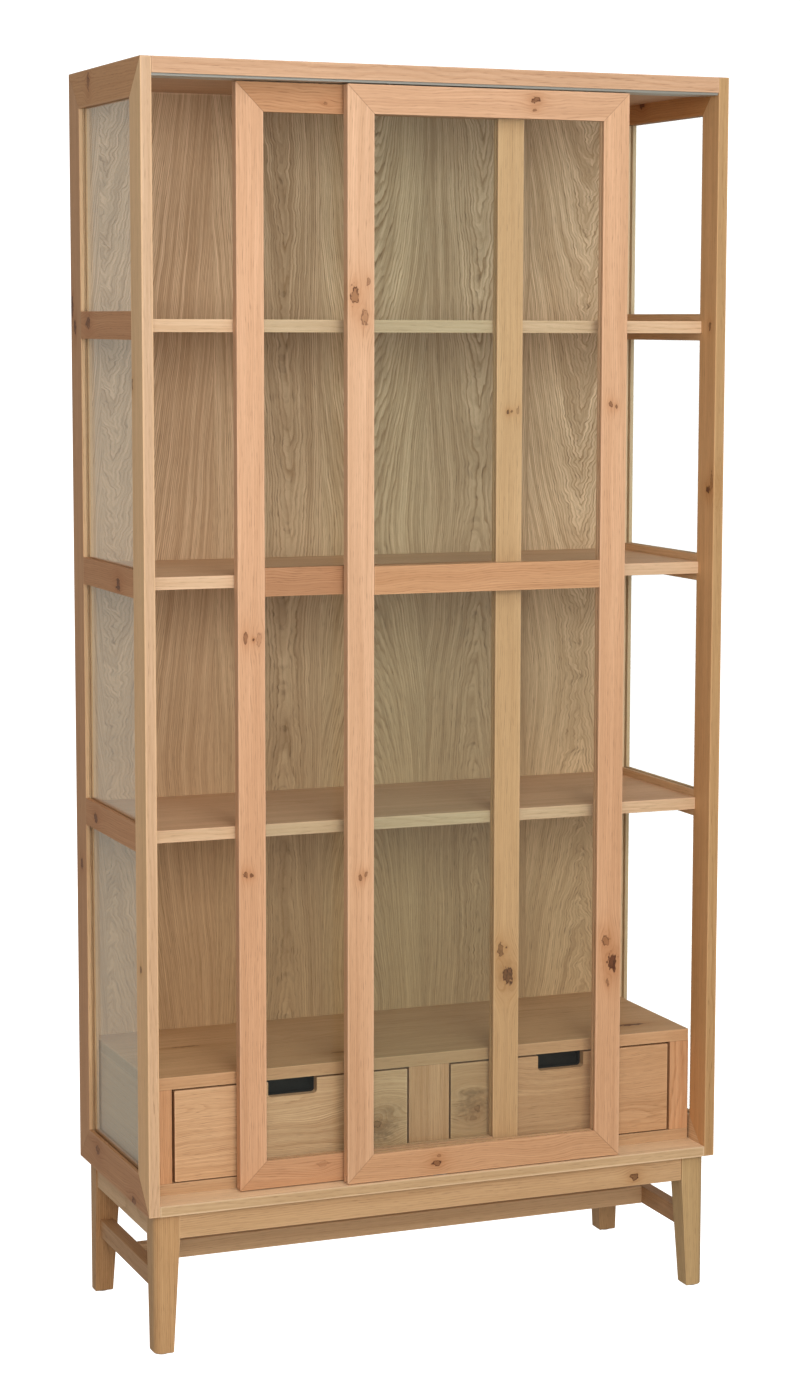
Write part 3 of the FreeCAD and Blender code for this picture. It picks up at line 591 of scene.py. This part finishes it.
wood("rear_door_right_stile", "Z", "Y", 27, seams=((-1, 0, 1, 1.8560), (1, 0, 1, 0.3970)), tone=HONEY, pith=(0.12, 0.05), figure=0.4, warm=0.04,
     knots=((1.493, 0.1224, 0.003, 0.002, 0.85, 0.9), (1.4935, 0.129, 0.0022, 0.0017, 0.7, 0.9), (1.495, 0.1405, 0.006, 0.003, 0.4, 0.4), (0.6095, 0.1156, 0.009, 0.005, 0.9, 0.45), (0.613, 0.1255, 0.0017, 0.0015, 0.95, 1.0), (0.567, 0.126, 0.018, 0.012, 0.45, -1.0), (0.5655, 0.1285, 0.0135, 0.0085, 0.9, 0.7)))
wood("rear_door_top_rail", "X", "Y", 28, seams=((1, 0, 1, 1.6660), (-1, 0, 1, 1.8560)), tint=(0.97, 0.93, 0.91), curl=0.022, tone=RUSSET, pith=(-0.05, 0.03), figure=0.6, bright=0.9, sway=0.06, ring=0.0042,
     knots=((-0.19, 1.975, 0.004, 0.0022, 0.4, 0.5),))
wood("rear_door_mid_rail", "X", "Y", 29, seams=((1, 0, 0, -0.2930), (1, 0, 0, 0.1030)), tint=(0.99, 0.93, 0.92), curl=0.022, tone=RUSSET, pith=(0.08, 0.05), figure=0.66, bright=0.78)
# painted highlight: edge lightens the bottom rail's narrow faces, its top face as if lit from above
wood("rear_door_bottom_rail", "X", "Y", 30, seams=((-1, 0, 1, 0.5870), (1, 0, 1, 0.3970)), tint=(0.96, 0.94, 0.95), curl=0.026, edge=(1.25, 1.4, 1.5), tone=RUSSET, pith=(0.05, 0.035), figure=0.7, bright=1.0, sway=0.05,
     knots=((-0.196, 0.279, 0.009, 0.0045, 0.22, 0.3),))

# the low chest and its drawers
wood("drawer_chest_top", "X", "Z", 31, edge=(0.96, 0.9, 0.9), curl=0.02, tint=(0.95, 0.92, 0.87), mottle=1.8, tone=HONEY, pith=(0.04, 0.08), figure=0.5,
     knots=((-0.361, 0.048, 0.020, 0.004, 0.7, 0.4), (-0.126, -0.082, 0.018, 0.004, 0.7, 0.4), (0.398, -0.080, 0.022, 0.006, 0.85, 0.7)))
wood("drawer_chest_base_rail", "X", "Y", 32, tint=(0.79, 0.81, 0.72), tone=PEACH, pith=(0.06, 0.06), figure=0.5)
wood("drawer_chest_stiles", "Z", "Y", 33, seams=((0, 0, 1, 0.2655), (0, 0, 1, 0.4195)), tint=(1.0, 0.99, 0.92), ring=0.003, tone=PEACH, pith=(0.5, 0.3), figure=0.85, lines=0.6, box=None)
wood("drawer_chest_uprights", "Y", "X", 34, tint=(0.88, 0.8, 0.7), tone=HONEY, pith=(0.1, 0.3), figure=0.5, box=None)
wood("drawer_runners", "Y", "X", 35, tone=STRAW, pith=(0.1, 0.3), figure=0.4, box=None)
wood("left_drawer_front", "X", "Y", 36, tint=(1.06, 1.1, 1.12), mottle=1.9, tone=GOLD, pith=(0.04, 0.04), ring=0.0024, figure=0.58, sway=0.05, lines=0.5, fibres=0.36, curl=0.02,
     knots=((-0.086, 0.320, 0.022, 0.017, 0.8, -1.0), (-0.072, 0.350, 0.016, 0.008, 0.4, -1.0), (-0.091, 0.328, 0.006, 0.005, 0.6, 0.2)))
wood("right_drawer_front", "X", "Y", 37, tint=(1.02, 0.995, 0.95), mottle=1.9, tone=GOLD, pith=(-0.04, 0.04), ring=0.0022, figure=0.42, sway=0.05, lines=0.4, fibres=0.36, curl=0.018, bright=0.92,
     knots=((0.0745, 0.341, 0.022, 0.016, 0.65, -1.0), (0.079, 0.365, 0.020, 0.005, 0.55, -1.0), (0.079, 0.322, 0.006, 0.0035, 0.35, 0.2), (0.087, 0.337, 0.005, 0.005, 0.5, 0.2)))
wood("left_drawer_sides", "Y", "X", 38, tone=STRAW, pith=(0.1, 0.4), figure=0.4, box=None)
wood("right_drawer_sides", "Y", "X", 39, tone=STRAW, pith=(0.2, 0.4), figure=0.4, box=None)
wood("left_drawer_back", "X", "Y", 40, tone=STRAW, pith=(0.05, 0.07), figure=0.4)
wood("right_drawer_back", "X", "Y", 41, tone=STRAW, pith=(-0.05, 0.07), figure=0.4)
wood("left_drawer_bottom", "X", "Z", 42, tone=STRAW, pith=(0.05, 0.1), figure=0.35)
wood("right_drawer_bottom", "X", "Z", 43, tone=STRAW, pith=(-0.05, 0.1), figure=0.35)

# base
wood("front_left_leg", "Z", "Y", 51, tint=(1.0, 1.06, 0.99), tone=GOLD, bright=0.9, pith=(0.09, 0.05), figure=0.45)
wood("front_right_leg", "Z", "Y", 52, tint=(1.04, 1.14, 1.16), tone=STRAW, pith=(-0.09, 0.05), figure=0.45, bright=0.92)
wood("rear_left_leg", "Z", "Y", 53, tint=(0.91, 0.9, 0.8), tone=GOLD, bright=0.9, pith=(0.1, 0.05), figure=0.45)
wood("rear_right_leg", "Z", "Y", 54, tint=(0.92, 0.9, 0.92), tone=STRAW, pith=(-0.1, 0.05), figure=0.45)
wood("front_apron", "X", "Y", 55, seams=((1, 0, 0, -0.446), (1, 0, 0, 0.446)), tint=(0.92, 0.9, 0.85), tone=HONEY, pith=(0.06, 0.05), figure=0.48,
     knots=((0.3566, 0.2033, 0.0062, 0.0056, 1.0, 0.35),))
wood("rear_apron", "X", "Y", 56, tint=(0.93, 0.92, 0.91), tone=HONEY, pith=(-0.06, 0.05), figure=0.48)
wood("side_aprons", "Y", "X", 57, tone=HONEY, pith=(0.2, 0.4), figure=0.45, box=None)
wood("side_stretchers", "Y", "X", 58, tint=(0.74, 0.64, 0.56), tone=HONEY, pith=(0.1, 0.4), figure=0.45, box=None)
wood("long_stretcher", "X", "Y", 59, tone=HONEY, pith=(0.06, 0.05), figure=0.45)
wood("base_corner_blocks", "Z", "Y", 60, tone=STRAW, pith=(0.4, 0.4), figure=0.4, box=None)

PLAIN = {
    "clear_glass_m": (glass, ("front_door_glass", "rear_door_glass", "side_glass_panes")),
    "satin_aluminium": (aluminium, ("top_track",)),
    "zinc_steel": (steel, ("front_door_hangers", "rear_door_hangers", "base_screws")),
    "charcoal_plastic": (
        lambda n: plastic(n, lin(26, 26, 26), lin(22, 22, 22), 0.55),
        ("left_drawer_finger_pull", "right_drawer_finger_pull"),
    ),
    "grey_nylon": (lambda n: plastic(n, lin(150, 150, 148), lin(138, 138, 137), 0.45), ("door_floor_guide",)),
    "wool_felt": (felt, ("foot_glides",)),
}
for name, (make, users) in PLAIN.items():
    m = make(name)
    for node in users:
        NODES[node].data.materials.clear()
        NODES[node].data.materials.append(m)

# ---------------------------------------------------------------- edges eased as a joiner would


def eased(node, width, segments=2, angle=40.0):
    o = NODES[node]
    weld = o.modifiers.new("join", "WELD")
    weld.merge_threshold = 0.000002
    b = o.modifiers.new("ease", "BEVEL")
    b.width = width
    b.segments = segments
    b.limit_method = "ANGLE"
    b.angle_limit = math.radians(angle)
    b.use_clamp_overlap = True
    b.harden_normals = False
    n = o.modifiers.new("even", "WEIGHTED_NORMAL")
    n.keep_sharp = False
    for poly in o.data.polygons:
        poly.use_smooth = True
    return b


EASE = {}
for n in NODES:
    EASE[n] = 0.0006
for n in ("upper_shelf", "middle_shelf", "lower_shelf", "drawer_chest_top"):
    EASE[n] = 0.0009
for n in ("left_drawer_front", "right_drawer_front"):
    EASE[n] = 0.0008
for n in ("front_left_leg", "front_right_leg", "rear_left_leg", "rear_right_leg"):
    EASE[n] = 0.0012
for n in ("front_apron", "rear_apron", "side_stretchers", "long_stretcher"):
    EASE[n] = 0.001
for n in ("front_door_glass", "rear_door_glass", "side_glass_panes", "back_panel"):
    EASE[n] = 0.0003
for n in ("top_track", "foot_glides", "door_floor_guide", "left_drawer_finger_pull", "right_drawer_finger_pull"):
    EASE[n] = 0.0003
for n in ("base_screws", "front_door_hangers", "rear_door_hangers"):
    EASE[n] = 0.0
for n, wd in EASE.items():
    if wd:
        eased(n, wd)

# ---------------------------------------------------------------- floor, light and camera


ROUND = (1.0, 0.98, 0.86, 1.0)
ROUND_STRENGTH = 0.46


def stage_floor():
    """A pale floor, very slightly uneven, so wide that its edge is never seen."""
    size, cells = 30.0, 24
    verts, faces = [], []
    for i in range(cells + 1):
        for j in range(cells + 1):
            verts.append((-size + 2 * size * i / cells, -size + 2 * size * j / cells, 0.0))
    for i in range(cells):
        for j in range(cells):
            a = i * (cells + 1) + j
            faces.append((a, a + cells + 1, a + cells + 2, a + 1))
    mesh = bpy.data.meshes.new("studio_floor")
    mesh.from_pydata(verts, [], faces)
    o = bpy.data.objects.new("studio_floor", mesh)
    bpy.context.scene.collection.objects.link(o)
    g = Graph("studio_floor_paint")
    p = g.place()
    cloud = g.noise(p, 1.4, 3.0, 0.5)
    n = g.shader(Base_Color=g.mix(g.step(cloud, 0.3, 0.7), (0.55, 0.55, 0.55, 1.0), (0.53, 0.53, 0.53, 1.0)), Roughness=0.9)
    n.inputs["Specular IOR Level"].default_value = 0.1
    glow = g.nt.nodes.new("ShaderNodeEmission")
    path = g.nt.nodes.new("ShaderNodeLightPath")
    seen = g.m("MAXIMUM", path.outputs["Is Camera Ray"], path.outputs["Is Transmission Ray"])
    straight = g.m("LESS_THAN", g.m("ADD", path.outputs["Glossy Depth"], path.outputs["Diffuse Depth"]), 0.5)
    g.nt.links.new(g.m("MULTIPLY", g.m("MULTIPLY", seen, straight), 1.15), glow.inputs["Strength"])
    add = g.nt.nodes.new("ShaderNodeAddShader")
    g.nt.links.new(n.outputs[0], add.inputs[0])
    g.nt.links.new(glow.outputs[0], add.inputs[1])
    # mirrored, it is as bright as the studio round it, so that no horizon shows in the glass
    same = g.nt.nodes.new("ShaderNodeEmission")
    same.inputs["Color"].default_value = ROUND
    same.inputs["Strength"].default_value = ROUND_STRENGTH
    mirrored = g.nt.nodes.new("ShaderNodeMixShader")
    through = g.m("MULTIPLY", seen, straight)
    g.put(mirrored.inputs[0], g.m("MULTIPLY", path.outputs["Is Glossy Ray"], g.m("SUBTRACT", 1.0, through)))
    g.nt.links.new(add.outputs[0], mirrored.inputs[1])
    g.nt.links.new(same.outputs[0], mirrored.inputs[2])
    mesh.materials.append(g.finish(mirrored.outputs[0]))
    return o


stage_floor()


def area(name, at, look, size, power, colour=(1.0, 1.0, 1.0)):
    d = bpy.data.lights.new(name, "AREA")
    d.shape = "RECTANGLE"
    d.size, d.size_y = size
    d.energy = power
    d.color = colour
    o = bpy.data.objects.new(name, d)
    o.location = at
    o.rotation_euler = (Vector(look) - Vector(at)).to_track_quat("-Z", "Y").to_euler()
    bpy.context.scene.collection.objects.link(o)
    o.visible_camera = False
    o.visible_transmission = False
    return o


area("key_softbox", (0.3, -2.6, 3.6), (0.0, -0.2, 1.4), (1.8, 1.3), 23.0, (1.0, 0.99, 0.975))
area("wide_softbox", (-0.9, -4.2, 2.0), (0.0, 0.0, 1.35), (2.6, 2.0), 127.0, (1.0, 0.99, 0.975)).visible_glossy = False
area("left_softbox", (-3.4, -1.4, 2.2), (0.0, 0.0, 1.1), (1.6, 2.0), 9.0, (1.0, 0.98, 0.95)).visible_glossy = False
area("back_softbox", (0.9, 4.4, 2.7), (0.0, 0.2, 1.2), (2.4, 1.8), 70.0, (1.0, 0.99, 0.975)).visible_glossy = False

world = bpy.data.worlds.new("studio")
bpy.context.scene.world = world
world.use_nodes = True
wt = world.node_tree
wt.nodes.clear()
w_out = wt.nodes.new("ShaderNodeOutputWorld")
w_seen = wt.nodes.new("ShaderNodeBackground")
w_seen.inputs[0].default_value = (1.0, 1.0, 1.0, 1.0)
w_seen.inputs[1].default_value = 1.35
w_light = wt.nodes.new("ShaderNodeBackground")
w_light.inputs[0].default_value = (1.0, 0.965, 0.91, 1.0)
w_light.inputs[1].default_value = 0.4
w_path = wt.nodes.new("ShaderNodeLightPath")
w_max = wt.nodes.new("ShaderNodeMath")
w_max.operation = "MAXIMUM"
wt.links.new(w_path.outputs["Is Camera Ray"], w_max.inputs[0])
wt.links.new(w_path.outputs["Is Transmission Ray"], w_max.inputs[1])
w_gloss = wt.nodes.new("ShaderNodeBackground")
w_gloss.inputs[0].default_value = ROUND
w_gloss.inputs[1].default_value = ROUND_STRENGTH
w_kind = wt.nodes.new("ShaderNodeMixShader")
wt.links.new(w_path.outputs["Is Glossy Ray"], w_kind.inputs[0])
wt.links.new(w_light.outputs[0], w_kind.inputs[1])
wt.links.new(w_gloss.outputs[0], w_kind.inputs[2])
w_mix = wt.nodes.new("ShaderNodeMixShader")
w_bounced = wt.nodes.new("ShaderNodeMath")
w_bounced.operation = "ADD"
wt.links.new(w_path.outputs["Glossy Depth"], w_bounced.inputs[0])
wt.links.new(w_path.outputs["Diffuse Depth"], w_bounced.inputs[1])
w_straight = wt.nodes.new("ShaderNodeMath")
w_straight.operation = "LESS_THAN"
wt.links.new(w_bounced.outputs[0], w_straight.inputs[0])
w_straight.inputs[1].default_value = 0.5
w_both = wt.nodes.new("ShaderNodeMath")
w_both.operation = "MULTIPLY"
wt.links.new(w_max.outputs[0], w_both.inputs[0])
wt.links.new(w_straight.outputs[0], w_both.inputs[1])
wt.links.new(w_both.outputs[0], w_mix.inputs[0])
wt.links.new(w_kind.outputs[0], w_mix.inputs[1])
wt.links.new(w_seen.outputs[0], w_mix.inputs[2])
wt.links.new(w_mix.outputs[0], w_out.inputs["Surface"])

scene = bpy.context.scene
scene.view_settings.view_transform = "Standard"
scene.view_settings.look = "None"
scene.view_settings.exposure = 0.0
scene.view_settings.gamma = 1.0

# the camera, solved on the photograph: focal length and centre in pixels of its 800 x 1397 frame
FOCAL, CX, CY = 3037.43, 446.40, 686.76
EYE = (-1.8538843, -4.6820778, 1.6352920)
RIGHT = Vector((0.923930, -0.382545, 0.003642))
DOWN = Vector((-0.042130, -0.111205, -0.992904))
AHEAD = Vector((0.380235, 0.917220, -0.118862))
cam_data = bpy.data.cameras.new("camera")
cam_data.sensor_fit = "AUTO"
cam_data.sensor_width = 36.0
cam_data.lens = FOCAL * 36.0 / 1397.0
cam_data.shift_x = (400.0 - CX) / 1397.0
cam_data.shift_y = (CY - 698.5) / 1397.0
cam_data.clip_start = 0.05
cam_data.clip_end = 200.0
cam = bpy.data.objects.new("camera", cam_data)
scene.collection.objects.link(cam)
rot = Matrix((RIGHT, -DOWN, -AHEAD)).transposed().to_4x4()
cam.matrix_world = Matrix.Translation(Vector(EYE)) @ rot
scene.camera = cam
